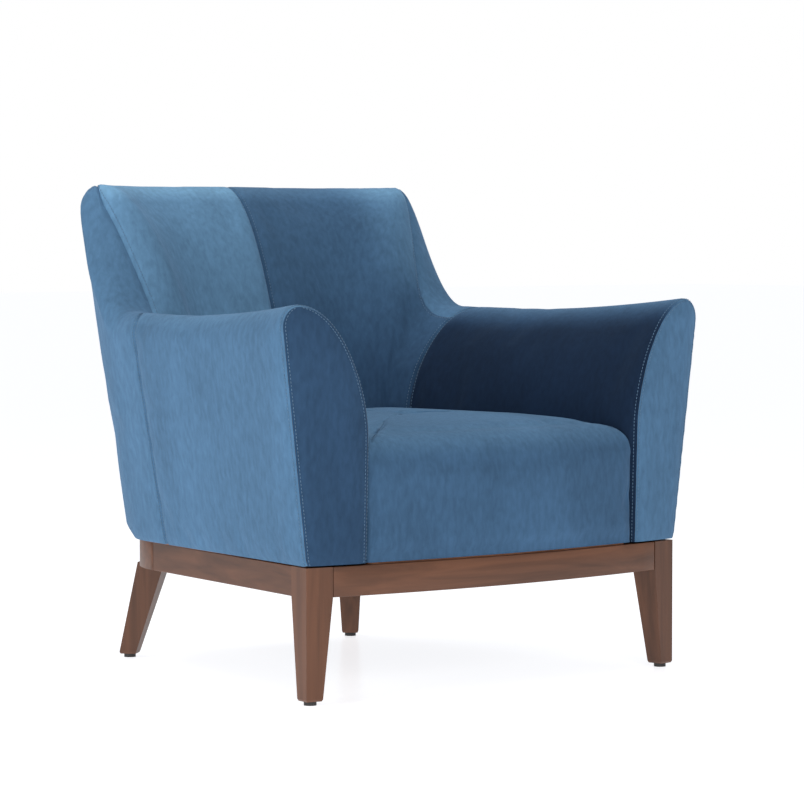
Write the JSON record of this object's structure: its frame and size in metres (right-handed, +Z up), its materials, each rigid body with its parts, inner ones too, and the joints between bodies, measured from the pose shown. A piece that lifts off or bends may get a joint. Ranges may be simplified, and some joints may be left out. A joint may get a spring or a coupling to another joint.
{
  "type": "upholstered armchair",
  "caption": "Low velvet armchair whose arms sweep up into a raised wrap-around back, with a deep fixed seat, on a dark wooden plinth with tapered legs.",
  "frame": {"origin": "on the floor, under the middle of the chair's bounding box", "axes": "+Z up, the chair faces -Y, +X towards the viewer's right when looking at its front; the chair is the same left and right of X = 0"},
  "size_m": [0.854, 0.765, 0.771],
  "materials": {
    "velvet": "short-pile velvet with a soft directional sheen",
    "walnut_wood": "walnut stain under a satin lacquer",
    "frame_wood": "plain sawn hardwood, hidden inside",
    "padding": "upholstery foam, hidden inside",
    "webbing": "woven webbing, hidden inside",
    "felt": "pressed felt, hidden inside",
    "steel": "zinc-plated fixings and spring wire",
    "clip_plastic": "moulded spring clips, hidden inside",
    "glide_plastic": "hard dark plastic glides",
    "dust_cloth": "thin black lining cloth under the seat"
  },
  "bodies": {
    "root": {"front_rail": "walnut_wood", "left_side_rail": "walnut_wood", "right_side_rail": "walnut_wood", "rear_rail": "walnut_wood", "front_left_leg": "walnut_wood", "front_right_leg": "walnut_wood", "rear_left_leg": "walnut_wood", "rear_right_leg": "walnut_wood", "corner_blocks": "frame_wood", "corner_block_bolts": "steel", "rear_leg_bolts": "steel", "foot_glides": "glide_plastic", "glide_nails": "steel", "left_arm_frame": "frame_wood", "right_arm_frame": "frame_wood", "left_wing_frame": "frame_wood", "right_wing_frame": "frame_wood", "back_top_rail": "frame_wood", "back_lower_rail": "frame_wood", "back_webbing": "webbing", "seat_frame_front": "frame_wood", "seat_frame_rear": "frame_wood", "seat_frame_left": "frame_wood", "seat_frame_right": "frame_wood", "front_bearer": "frame_wood", "rear_bearer": "frame_wood", "body_bolts": "steel", "seat_springs": "steel", "spring_clips": "clip_plastic", "spring_felt": "felt", "seat_foam": "padding", "seat_cover": "velvet", "left_arm_foam": "padding", "right_arm_foam": "padding", "left_wing_foam": "padding", "right_wing_foam": "padding", "back_foam": "padding", "left_front_board": "frame_wood", "right_front_board": "frame_wood", "left_front_panel": "velvet", "right_front_panel": "velvet", "left_arm_cover": "velvet", "right_arm_cover": "velvet", "left_inner_back_cover": "velvet", "right_inner_back_cover": "velvet", "outer_back_cover": "velvet", "dust_cover": "dust_cloth"}
  },
  "joints": []
}
